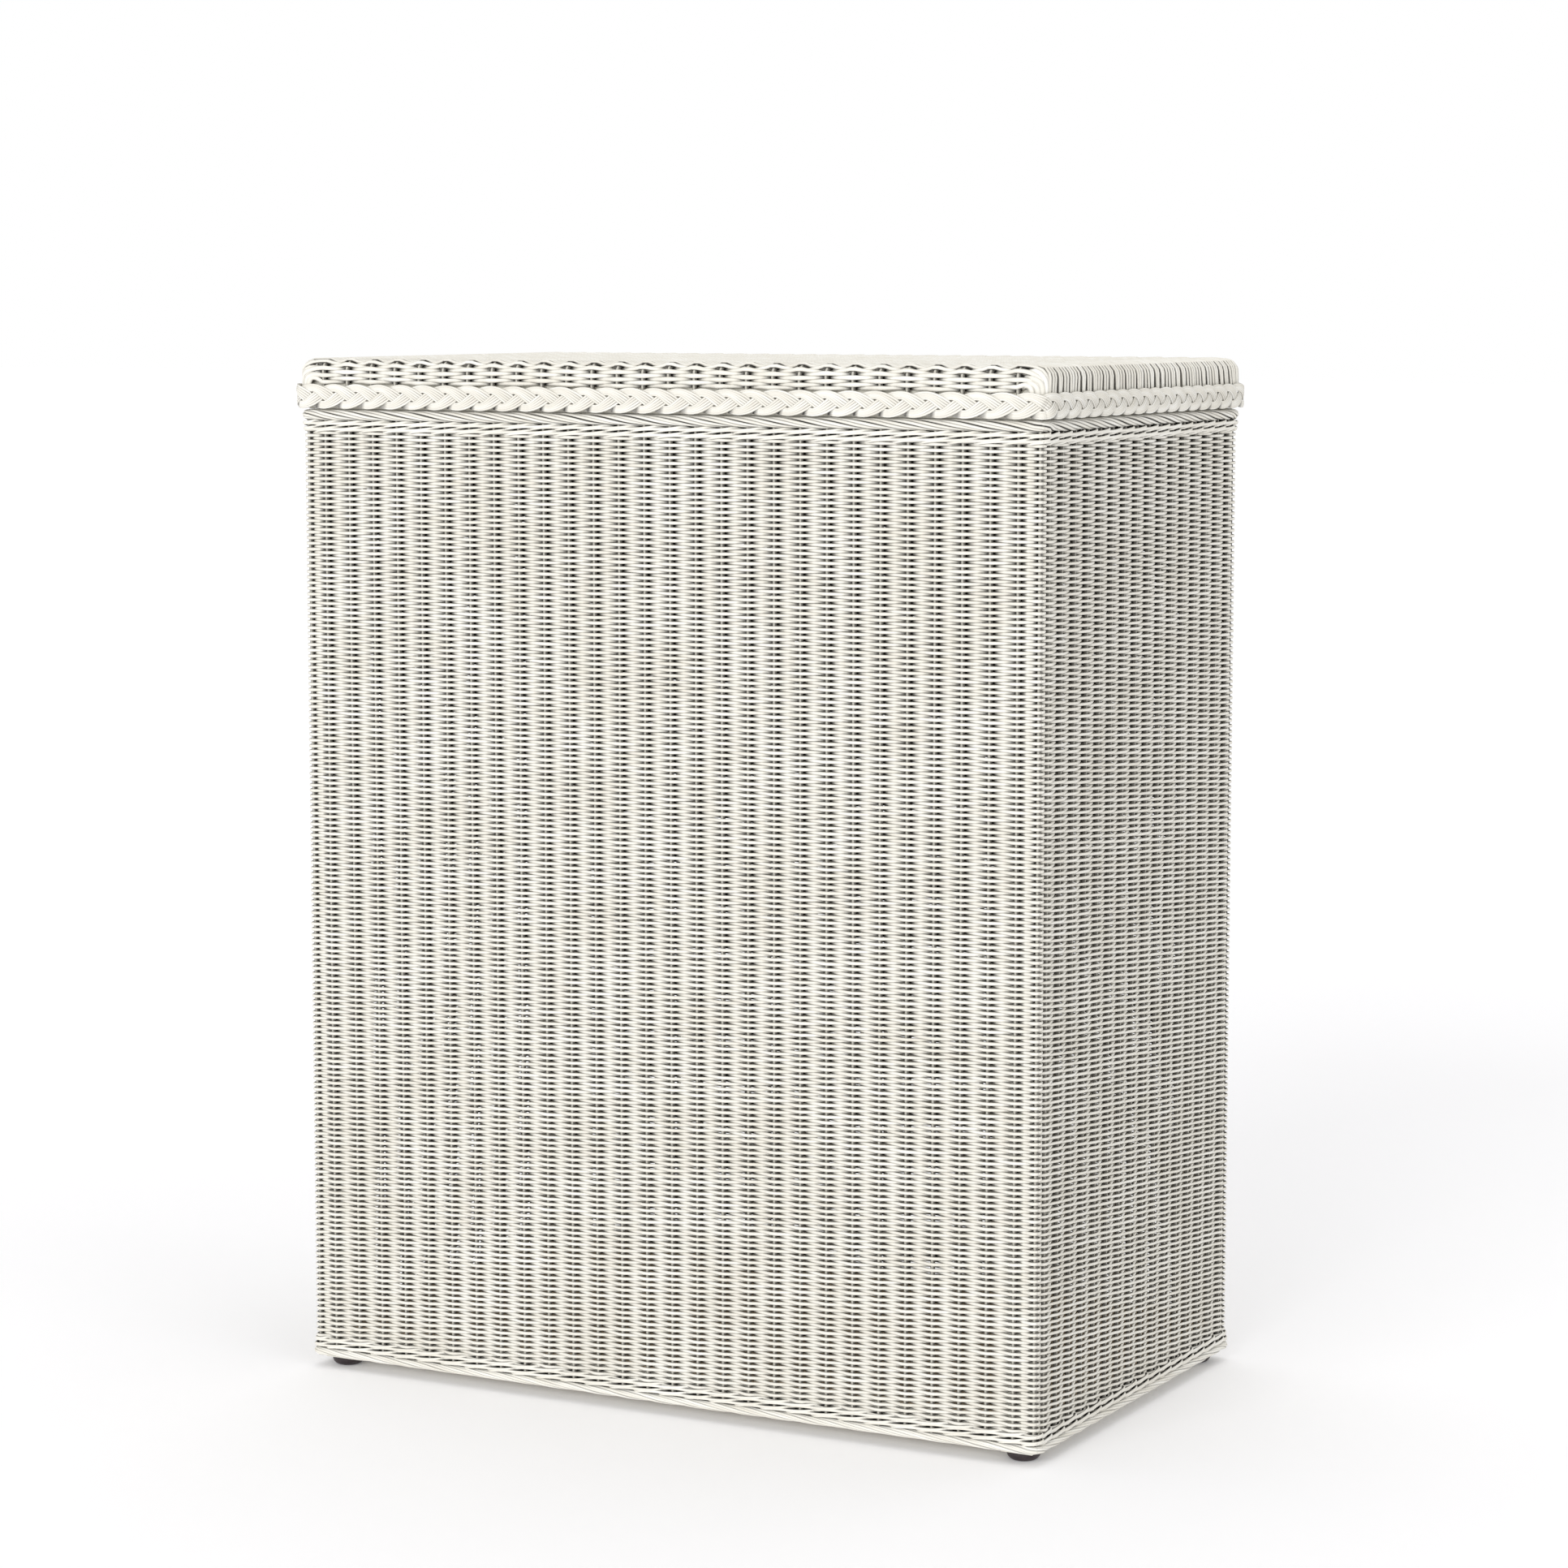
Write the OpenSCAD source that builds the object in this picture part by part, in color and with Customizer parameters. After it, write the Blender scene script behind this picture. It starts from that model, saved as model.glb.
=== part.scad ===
// Lidded laundry basket, woven in painted wicker over a wooden frame.
// Millimetres. The origin is on the floor under the middle of the basket, +Z is up,
// the long front faces -Y, and the lid is hinged along the back, at +Y.

/* [Basket] */
// Width over the woven faces, left to right
basket_w = 556; // [500:1:620]
// Depth over the woven faces, front to back
basket_d = 320; // [290:1:360]
// Height from the floor to the top of the closed lid
basket_h = 700; // [600:1:760]
// Thickness of the woven wall, which is also the radius of its corners
weave_t = 7; // [6:0.5:8]

/* [Stakes and borders] */
// Diameter of the upright stakes that the strands are woven round
stake_d = 3; // [2.5:0.1:3.5]
// Stakes along the front, and along the back
long_stakes = 28; // [20:1:30]
// Distance between neighbouring stakes at the front and back
long_pitch = 19.2; // [16:0.1:20]
// Stakes along each short side
short_stakes = 16; // [12:1:17]
// Distance between neighbouring stakes at the sides
short_pitch = 19.5; // [16:0.1:20]
// Height of the plaited border round the top edge
top_border_h = 15; // [12:1:18]
// Height of the plaited border round the bottom edge
bottom_border_h = 15; // [14:1:22]
// How far the borders and the lid stand out from the weave
border_proud = 1.5; // [1:0.1:2]

/* [Wooden frame] */
// Side of each square corner post
post_w = 22; // [20:1:26]
// Thickness of the rails, measured inwards from the weave
rail_t = 18; // [16:1:20]
// Height of the rails between the posts
rail_h = 20; // [18:1:26]
// Thickness of the plywood base
base_t = 4; // [3:0.5:6]
// Diameter of the dowels that join rails to posts
dowel_d = 6; // [5:0.5:7]

/* [Lid] */
// Height of the lid above the line where it meets the body
lid_h = 34.5; // [32:0.5:40]
// Thickness of the woven skin over the lid's frame
lid_skin_t = 6; // [5:0.5:7]
// Radius of the lid's rounded top edges
lid_edge_r = 9; // [8:0.5:10]
// Height of the plait round the lid's lower edge
braid_h = 17; // [14:0.5:18]
// How far the plait stands out from the body's weave
braid_proud = 4.5; // [4:0.1:5]

/* [Hinges] */
// Length of each hinge along the back edge
hinge_len = 40; // [36:1:50]
// Distance from the middle of the basket to the middle of each hinge
hinge_x = 168; // [120:1:190]
// Outer diameter of the knuckles
knuckle_d = 5; // [4.8:0.1:5.4]
// Diameter of the hinge pin
pin_d = 2.5; // [2:0.1:2.8]
// Thickness of the leaves
leaf_t = 1.2; // [1:0.1:1.4]

/* [Feet] */
// Diameter of each round foot
foot_d = 22; // [18:1:24]
// Height that the feet lift the basket off the floor
foot_h = 6; // [5:0.5:8]

/* [Hidden] */
$fn = 48;
WHITE = "#ece9dd";
SHADE = "#dedbcf";
WOOD = "#e3dfd1";
STEEL = "#b9b9b6";
DARK = "#2b2224";
eps = 0.01;

// Vertical levels
gap = 0.3;                               // between the closed lid and the body
part_z = basket_h - lid_h;               // the plane where lid and body meet
body_top = part_z - gap / 2;
lid_bottom = part_z + gap / 2;
border_low_z = foot_h + bottom_border_h;
border_high_z = body_top - top_border_h;
rail_low_z = foot_h + 2;
base_z = rail_low_z + rail_h;
braid_top = lid_bottom + braid_h;
lid_round_z = basket_h - lid_edge_r;     // where the lid's edges begin to round
lid_under_z = basket_h - lid_skin_t;     // underside of the woven lid top

// Inner and outer faces, as distances outwards from the weave's outer face
frame_out = -weave_t;
lid_frame_out = border_proud - lid_skin_t;
post_in = -weave_t - post_w;
stake_mid = -weave_t / 2;
rib_mid = border_proud - lid_skin_t / 2;
end_slack = 2;                           // stakes and ribs stop short of the leaves

// Hinge
axis_y = basket_d / 2 + braid_proud - knuckle_d / 2;
leaf_w = 22;                             // from the axis to the leaf's free edge
mid_knuckle = 14;                        // length of the lid's knuckle
knuckle_gap = 0.3;
pin_clear = 0.05;                        // radial clearance of the pin in the lid's knuckle
turn_clear = 0.4;                        // room round the knuckles
screw_y = axis_y - 15.5;
screw_pitch = 13;
hinge_screw = [2.8, 1.4, 12];            // head radius, shank radius, shank length

// Feet
foot_in = weave_t + post_w / 2;          // a foot's centre, inwards from both faces
foot_screw = [3.4, 1.5, 14];             // head radius, shank radius, shank length
head_room = 2.4;                         // depth of the screw head's recess
head_h = 1.6;

// Dowels
dowel_post = 8;                          // length of a dowel in its post or lid rail
dowel_rail = 12;                         // and in the rail that butts against it

// ---- Shared shapes ----

// Moves its children to one of the basket's four corners
module at_corner(sx, sy) {
    translate([sx * basket_w / 2, sy * basket_d / 2, 0]) children();
}

// A plain block between two corners
module block(low, high) {
    translate(low) cube(high - low);
}

// Rounded rectangle whose faces lie "out" beyond the weave's outer face
module plan(out, r) {
    w = basket_w + 2 * out;
    d = basket_d + 2 * out;
    square([w - 2 * r, d], center = true);
    square([w, d - 2 * r], center = true);
    for (sx = [-1, 1], sy = [-1, 1])
        translate([sx * (w / 2 - r), sy * (d / 2 - r)]) circle(r);
}

// The quarter of the plan that belongs to one side, mitred at the corners
module side_wedge(side) {
    reach = 20;
    depth = 40;
    along = side == "front" || side == "back" ? basket_w / 2 : basket_d / 2;
    out = side == "front" || side == "back" ? basket_d / 2 : basket_w / 2;
    turn = side == "front" ? 0 : side == "right" ? 90 : side == "back" ? 180 : 270;
    rotate(turn)
        polygon([
            [-along - reach, -out - reach], [along + reach, -out - reach],
            [along - depth, -out + depth], [depth - along, -out + depth],
        ]);
}

// One side of a band that runs round the basket
module band_side(side, low, high, out, inner) {
    r = out - inner;
    translate([0, 0, low])
        linear_extrude(high - low)
            intersection() {
                difference() {
                    plan(out, r);
                    square([basket_w + 2 * inner, basket_d + 2 * inner], center = true);
                }
                side_wedge(side);
            }
}

// Sign of a side's outward direction
function side_sign(side) = side == "front" || side == "left" ? -1 : 1;
function is_long(side) = side == "front" || side == "back";

// One rail of a rectangular frame. Ends lie "end_in" inside the outer faces.
module rail(side, low, high, out, end_in) {
    s = side_sign(side);
    if (is_long(side)) {
        y = s * (basket_d / 2 + out - rail_t / 2);
        x = basket_w / 2 + end_in;
        block([-x, y - rail_t / 2, low], [x, y + rail_t / 2, high]);
    } else {
        x = s * (basket_w / 2 + out - rail_t / 2);
        y = basket_d / 2 + end_in;
        block([x - rail_t / 2, -y, low], [x + rail_t / 2, y, high]);
    }
}

// Room cut out for both hinges: a flat recess for the leaf and a round one for the knuckles
module hinge_room(low, high) {
    side_slack = 0.3;
    x = hinge_len / 2 + side_slack;
    for (s = [-1, 1]) {
        block([s * hinge_x - x, axis_y - leaf_w - side_slack, low],
              [s * hinge_x + x, basket_d / 2 + 2 * braid_proud, high]);
        translate([s * hinge_x - x, axis_y, part_z])
            rotate([0, 90, 0]) cylinder(r = knuckle_d / 2 + turn_clear, h = 2 * x);
    }
}

module body_hinge_room() { hinge_room(body_top - leaf_t, body_top + 1); }
module lid_hinge_room() { hinge_room(lid_bottom - 1, lid_bottom + leaf_t); }

// ---- Wooden frame of the body ----

module post(sx, sy) {
    color(WOOD)
        at_corner(sx, sy)
            translate([-sx * foot_in, -sy * foot_in, foot_h])
                translate([-post_w / 2, -post_w / 2, 0])
                    cube([post_w, post_w, body_top - foot_h]);
}

module top_rail(side) {
    color(WOOD)
        difference() {
            rail(side, body_top - rail_h, body_top, frame_out, post_in);
            if (side == "back") body_hinge_room();
        }
}

module bottom_rail(side) {
    color(WOOD) rail(side, rail_low_z, rail_low_z + rail_h, frame_out, post_in);
}

// Plywood sheet resting on the bottom rails, notched round the posts
module base_panel() {
    x = basket_w / 2 - weave_t;
    y = basket_d / 2 - weave_t;
    color(WOOD)
        difference() {
            block([-x, -y, base_z], [x, y, base_z + base_t]);
            for (sx = [-1, 1], sy = [-1, 1])
                translate([sx * x, sy * y, base_z + base_t / 2])
                    cube([2 * post_w, 2 * post_w, 2 * base_t], center = true);
        }
}

// A dowel along X or Y, from inside one piece into the end of the next
module dowel(x, y, z, along_x, s) {
    turn = along_x ? [0, 90, 0] : [-90, 0, 0];
    back = s > 0 ? dowel_rail : dowel_post;
    shift = along_x ? [-back, 0, 0] : [0, -back, 0];
    translate([x, y, z] + shift)
        rotate(turn) cylinder(d = dowel_d, h = dowel_post + dowel_rail);
}

module frame_dowels() {
    joint_x = basket_w / 2 + post_in;
    joint_y = basket_d / 2 + post_in;
    mid_x = basket_w / 2 + frame_out - rail_t / 2;
    mid_y = basket_d / 2 + frame_out - rail_t / 2;
    levels = [rail_low_z + rail_h / 2, body_top - rail_h / 2];
    color(WOOD)
        for (z = levels, sx = [-1, 1], sy = [-1, 1]) {
            dowel(sx * joint_x, sy * mid_y, z, true, sx);
            dowel(sx * mid_x, sy * joint_y, z, false, sy);
        }
}

// ---- Feet ----

// Bowl-shaped glide with a recess for its screw
module foot(sx, sy) {
    r = foot_d / 2;
    soft = min(foot_h - 1, r - foot_screw[0] - 1.5);
    color(DARK)
        at_corner(sx, sy)
            translate([-sx * foot_in, -sy * foot_in, 0])
                difference() {
                    rotate_extrude()
                        union() {
                            square([r - soft, foot_h]);
                            translate([0, soft]) square([r, foot_h - soft]);
                            intersection() {
                                translate([r - soft, soft]) circle(soft);
                                square([r, soft]);
                            }
                        }
                    translate([0, 0, -eps]) cylinder(r = foot_screw[1], h = foot_h + 1);
                    translate([0, 0, -eps]) cylinder(r = foot_screw[0], h = head_room);
                }
}

module foot_screws() {
    head_low = head_room - head_h - eps;
    color(STEEL)
        for (sx = [-1, 1], sy = [-1, 1])
            at_corner(sx, sy)
                translate([-sx * foot_in, -sy * foot_in, head_low]) {
                    cylinder(r = foot_screw[0] - 0.2, h = head_h);
                    cylinder(r = foot_screw[1], h = head_h + foot_screw[2]);
                }
}

// ---- Woven body ----

module stake_row(side) {
    s = side_sign(side);
    n = is_long(side) ? long_stakes : short_stakes;
    pitch = is_long(side) ? long_pitch : short_pitch;
    low = foot_h + end_slack;
    color(SHADE)
        for (i = [0 : n - 1]) {
            along = (i - (n - 1) / 2) * pitch;
            spot = is_long(side)
                ? [along, s * (basket_d / 2 + stake_mid), low]
                : [s * (basket_w / 2 + stake_mid), along, low];
            translate(spot) cylinder(d = stake_d, h = body_top - end_slack - low);
        }
}

// One stake in the round of each corner, just outside the post
module stakes_corner() {
    inset = weave_t - weave_t / 2 * cos(45);
    low = foot_h + end_slack;
    color(SHADE)
        for (sx = [-1, 1], sy = [-1, 1])
            at_corner(sx, sy)
                translate([-sx * inset, -sy * inset, low])
                    cylinder(d = stake_d, h = body_top - end_slack - low);
}

module weave(side) {
    color(WHITE) band_side(side, border_low_z, border_high_z, 0, frame_out);
}

module top_border(side) {
    color(WHITE)
        difference() {
            band_side(side, border_high_z, body_top, border_proud, frame_out);
            if (side == "back") body_hinge_room();
        }
}

module bottom_border(side) {
    color(WHITE) band_side(side, foot_h, border_low_z, border_proud, frame_out);
}

// ---- Hinges ----

// Countersunk screw with its head's face at z = 0 and its shank pointing up
module leaf_screw() {
    cylinder(r1 = hinge_screw[0], r2 = hinge_screw[1], h = leaf_t);
    cylinder(r = hinge_screw[1], h = leaf_t + hinge_screw[2]);
}

// The three screws of each leaf. Direction 1 points up into the lid, -1 down into the body.
module leaf_screws(direction) {
    for (s = [-1, 1], i = [-1, 0, 1])
        translate([s * hinge_x + i * screw_pitch, screw_y, part_z + direction * gap / 2])
            rotate([direction > 0 ? 0 : 180, 0, 0]) leaf_screw();
}

// A length of knuckle along X, centred on x
module knuckle(x, length, d) {
    translate([x - length / 2, axis_y, part_z])
        rotate([0, 90, 0]) cylinder(d = d, h = length);
}

end_knuckle = (hinge_len - mid_knuckle) / 2 - knuckle_gap;
end_knuckle_x = (hinge_len - end_knuckle) / 2;

module leaf_plate(x, low) {
    block([x - hinge_len / 2, axis_y - leaf_w, low], [x + hinge_len / 2, axis_y, low + leaf_t]);
}

module body_leaf(s) {
    x = s * hinge_x;
    color(STEEL)
        difference() {
            union() {
                difference() {
                    leaf_plate(x, body_top - leaf_t);
                    knuckle(x, mid_knuckle + 2 * knuckle_gap, knuckle_d + 2 * turn_clear);
                }
                for (e = [-1, 1]) knuckle(x + e * end_knuckle_x, end_knuckle, knuckle_d);
            }
            knuckle(x, hinge_len + 2, pin_d);
            leaf_screws(-1);
        }
}

module lid_leaf(s) {
    x = s * hinge_x;
    end_room = end_knuckle + 2 * knuckle_gap;
    end_room_x = (hinge_len + 2 * knuckle_gap - end_room) / 2;
    color(STEEL)
        difference() {
            union() {
                difference() {
                    leaf_plate(x, lid_bottom);
                    for (e = [-1, 1])
                        knuckle(x + e * end_room_x, end_room, knuckle_d + 2 * turn_clear);
                }
                knuckle(x, mid_knuckle, knuckle_d);
            }
            knuckle(x, hinge_len + 2, pin_d + 2 * pin_clear);
            leaf_screws(1);
        }
}

module hinge_pin(s) {
    color(STEEL) knuckle(s * hinge_x, hinge_len, pin_d);
}

module hinge_screws_body() { color(STEEL) leaf_screws(-1); }
module hinge_screws_lid() { color(STEEL) leaf_screws(1); }

// ---- Lid ----

// Front and back rails run the full width, and the side rails butt between them
module lid_rail(side) {
    end_in = is_long(side) ? lid_frame_out : lid_frame_out - rail_t;
    color(WOOD)
        difference() {
            rail(side, lid_bottom, lid_under_z, lid_frame_out, end_in);
            if (side == "back") lid_hinge_room();
        }
}

module lid_dowels() {
    joint_y = basket_d / 2 + lid_frame_out - rail_t;
    mid_x = basket_w / 2 + lid_frame_out - rail_t / 2;
    mid_z = (lid_bottom + lid_under_z) / 2;
    spread = 6;
    color(WOOD)
        for (sx = [-1, 1], sy = [-1, 1], k = [-1, 1])
            dowel(sx * mid_x, sy * joint_y, mid_z + k * spread, false, sy);
}

// A rib runs up the front, over the top and down the back
module lid_rib(x) {
    bend = lid_edge_r - lid_skin_t / 2;
    low = lid_bottom + 2 * end_slack;
    y = basket_d / 2 + rib_mid;
    top = basket_h - lid_skin_t / 2;
    for (s = [-1, 1]) {
        translate([x, s * y, low]) cylinder(d = stake_d, h = top - bend - low);
        translate([x, s * (y - bend), top - bend])
            rotate([0, 0, s * 90]) rotate([90, 0, 0])
                rotate_extrude(angle = 90) translate([bend, 0]) circle(d = stake_d);
    }
    translate([x, bend - y, top]) rotate([-90, 0, 0]) cylinder(d = stake_d, h = 2 * (y - bend));
}

module lid_ribs() {
    color(SHADE)
        for (i = [0 : long_stakes - 1]) lid_rib((i - (long_stakes - 1) / 2) * long_pitch);
}

// Quarter of a round bar of radius r, along X from the origin, rounded towards -Y and +Z
module edge_bar(r, length) {
    rotate([90, 0, 90])
        linear_extrude(length)
            intersection() {
                circle(r);
                translate([-r, 0]) square(r);
            }
}

// Eighth of a ball of radius r, rounded towards +X, +Y and +Z
module edge_ball(r) {
    rotate_extrude(angle = 90)
        intersection() {
            circle(r);
            square(r);
        }
}

// Slab whose top edges and corners are rounded, open underneath round the frame
module lid_weave_top() {
    r = lid_edge_r;
    x = basket_w / 2 + border_proud - r;
    y = basket_d / 2 + border_proud - r;
    inner_x = basket_w / 2 + lid_frame_out;
    inner_y = basket_d / 2 + lid_frame_out;
    color(WHITE)
        difference() {
            translate([0, 0, lid_round_z]) {
                block([-x, -y, 0], [x, y, r]);
                for (turn = [0, 180]) {
                    rotate(turn) translate([-x, -y, 0]) edge_bar(r, 2 * x);
                    rotate(turn + 90) translate([-y, -x, 0]) edge_bar(r, 2 * y);
                    rotate(turn) translate([x, y, 0]) edge_ball(r);
                    rotate(turn + 90) translate([y, x, 0]) edge_ball(r);
                }
            }
            block([-inner_x, -inner_y, lid_round_z - 1], [inner_x, inner_y, lid_under_z]);
        }
}

module lid_skirt(side) {
    color(WHITE)
        intersection() {
            band_side(side, braid_top, lid_round_z, border_proud, lid_frame_out);
            translate([0, 0, braid_top])
                linear_extrude(lid_round_z - braid_top) plan(border_proud, lid_edge_r);
        }
}

module lid_braid(side) {
    color(WHITE)
        difference() {
            band_side(side, lid_bottom, braid_top, braid_proud, lid_frame_out);
            if (side == "back") lid_hinge_room();
        }
}

post(-1, -1);  // post_front_left
post(1, -1);  // post_front_right
post(-1, 1);  // post_back_left
post(1, 1);  // post_back_right
top_rail("front");  // top_rail_front
top_rail("back");  // top_rail_back
top_rail("left");  // top_rail_left
top_rail("right");  // top_rail_right
bottom_rail("front");  // bottom_rail_front
bottom_rail("back");  // bottom_rail_back
bottom_rail("left");  // bottom_rail_left
bottom_rail("right");  // bottom_rail_right
base_panel();
frame_dowels();
foot(-1, -1);  // foot_front_left
foot(1, -1);  // foot_front_right
foot(-1, 1);  // foot_back_left
foot(1, 1);  // foot_back_right
foot_screws();
stake_row("front");  // stakes_front
stake_row("back");  // stakes_back
stake_row("left");  // stakes_left
stake_row("right");  // stakes_right
stakes_corner();
weave("front");  // weave_front
weave("back");  // weave_back
weave("left");  // weave_left
weave("right");  // weave_right
top_border("front");  // top_border_front
top_border("back");  // top_border_back
top_border("left");  // top_border_left
top_border("right");  // top_border_right
bottom_border("front");  // bottom_border_front
bottom_border("back");  // bottom_border_back
bottom_border("left");  // bottom_border_left
bottom_border("right");  // bottom_border_right
body_leaf(-1);  // hinge_left_body_leaf
body_leaf(1);  // hinge_right_body_leaf
hinge_pin(-1);  // hinge_left_pin
hinge_pin(1);  // hinge_right_pin
hinge_screws_body();
lid_rail("front");  // lid_rail_front
lid_rail("back");  // lid_rail_back
lid_rail("left");  // lid_rail_left
lid_rail("right");  // lid_rail_right
lid_dowels();
lid_ribs();
lid_weave_top();
lid_skirt("front");  // lid_skirt_front
lid_skirt("back");  // lid_skirt_back
lid_skirt("left");  // lid_skirt_left
lid_skirt("right");  // lid_skirt_right
lid_braid("front");  // lid_braid_front
lid_braid("back");  // lid_braid_back
lid_braid("left");  // lid_braid_left
lid_braid("right");  // lid_braid_right
lid_leaf(-1);  // hinge_left_lid_leaf
lid_leaf(1);  // hinge_right_lid_leaf
hinge_screws_lid();
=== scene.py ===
"""Looks of the lidded wicker laundry basket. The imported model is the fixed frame: every woven
wall, border, braid and lid surface is laid here strand by strand in the space of its CAD node,
and the frame, base, hinges, stakes and feet keep their CAD shapes and get their finishes."""

import math

import bpy
import numpy as np
from mathutils import Matrix, Vector


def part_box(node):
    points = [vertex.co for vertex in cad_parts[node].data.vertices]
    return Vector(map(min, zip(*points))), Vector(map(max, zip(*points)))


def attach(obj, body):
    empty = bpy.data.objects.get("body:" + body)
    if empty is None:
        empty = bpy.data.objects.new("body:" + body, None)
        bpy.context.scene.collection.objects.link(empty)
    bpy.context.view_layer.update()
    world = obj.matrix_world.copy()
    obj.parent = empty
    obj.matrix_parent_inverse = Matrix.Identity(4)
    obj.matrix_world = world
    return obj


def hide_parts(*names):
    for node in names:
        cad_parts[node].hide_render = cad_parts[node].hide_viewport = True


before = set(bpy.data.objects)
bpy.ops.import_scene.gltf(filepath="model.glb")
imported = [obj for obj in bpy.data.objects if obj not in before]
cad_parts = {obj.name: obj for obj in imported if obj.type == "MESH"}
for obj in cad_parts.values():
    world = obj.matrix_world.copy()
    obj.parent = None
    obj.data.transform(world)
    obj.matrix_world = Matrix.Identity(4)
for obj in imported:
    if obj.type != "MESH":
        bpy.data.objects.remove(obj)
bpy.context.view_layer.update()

MM = 0.001
SEED = 41
rng = np.random.default_rng(SEED)

# ---- Sizes from the frame ----


def z_range(name):
    low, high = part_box(name)
    return low.z, high.z


def middle_x(name):
    low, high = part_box(name)
    return (low.x + high.x) / 2


SIDES = ("front", "right", "back", "left")  # counter-clockwise from above
STAKES = {"front": 28, "right": 16, "back": 28, "left": 16}
LOOP = sum(STAKES.values()) + 4  # one more stake stands in each corner

weave_low, weave_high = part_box("weave_front")
border_low, border_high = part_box("top_border_front")
skin_low, skin_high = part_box("lid_weave_top")
ribs_low, ribs_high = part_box("lid_ribs")
pin_low, pin_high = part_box("hinge_left_pin")

HALF = np.array([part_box("weave_right")[1].x, -weave_low.y])  # from the middle to the walls' faces
WEAVE_T = weave_high.y - weave_low.y
WEAVE_Z = (weave_low.z, weave_high.z)
TOP_Z = z_range("top_border_front")
BOTTOM_Z = z_range("bottom_border_front")
BORDER_T = border_high.y - border_low.y
PROUD = weave_low.y - border_low.y  # how far the borders and the lid stand out from the walls
BRAID_Z = z_range("lid_braid_front")
BRAID_OUT = weave_low.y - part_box("lid_braid_front")[0].y
LID_TOP = skin_high.z
LID_EDGE_R = LID_TOP - skin_low.z
RIB_R = LID_TOP - ribs_high.z  # the room over a rib, which is as much as its radius
RIB_IN = ribs_low.y + RIB_R - skin_low.y  # from the lid's face to a rib's middle
HINGE_X = [middle_x(leaf) for leaf in ("hinge_left_body_leaf", "hinge_right_body_leaf")]
HINGE_HALF = (pin_high.x - pin_low.x) / 2
KNUCKLE_TOP = z_range("hinge_left_body_leaf")[1]
LEAF_ROOM = 1.3 * MM  # height left free for the hinge leaves let into the top border
LEAF_UNDER = TOP_Z[1] - LEAF_ROOM

# Strands of the walls
ROD_R = 1.09 * MM  # half the height of the weavers
ROD_FLAT = 0.85  # their depth over their height
ROW_PITCH = 1.93 * MM
SWING = WEAVE_T / 2 - ROD_R * ROD_FLAT  # how far a weaver swings either side of the wall's middle
MIDDLE = -WEAVE_T / 2  # the wall's middle surface, from its face
CORNER_IN = WEAVE_T  # the corner arcs' centres, inwards from the faces
CORNER_STEPS = 3
SEAM = 0.4 * MM  # how far the strands of neighbouring sides overlap at a corner
HUG = 1.12  # above 1, a strand lies flat for a short way over each stake


# ---- Helpers ----

# Where neighbouring rods or rows have to differ without a pattern, their numbers go into sines
# with uneven multipliers.


def unit(v):
    return v / np.maximum(np.linalg.norm(v, axis=-1, keepdims=True), 1e-12)


def ease(t):
    return t * t * (3 - 2 * t)


def over_under(k):
    """Path of a strand past stakes at whole k, from 1 in front to -1 behind. It is almost
    straight from one stake to the next."""
    wave = np.cos(math.pi * k)
    return np.clip(HUG * wave * abs(wave), -1, 1)


def spread_over(wave, share):
    """How much broader a strand is pressed where it lies over a stake."""
    return 1 + share * np.clip(wave, 0, 1)


# ---- Tubes ----

WEAVER_SIDES = 6  # corners of a strand's outline in the walls and the lid
ROD_SIDES = 8  # the same in the borders and the braid
SHADE_FROM = 0.22  # turn away from the open at which painted shade begins on a strand's side
SHADE_SPAN = 0.5  # further turn at which that painted shade is whole
FLANK_RISE = 0.6  # what rises less than this, of a strand's half depth, is its flank, which gets the painted crease shade
FIBRE_STRAY = 3  # metres along the fibre pattern by which a strand's start may stray


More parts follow.
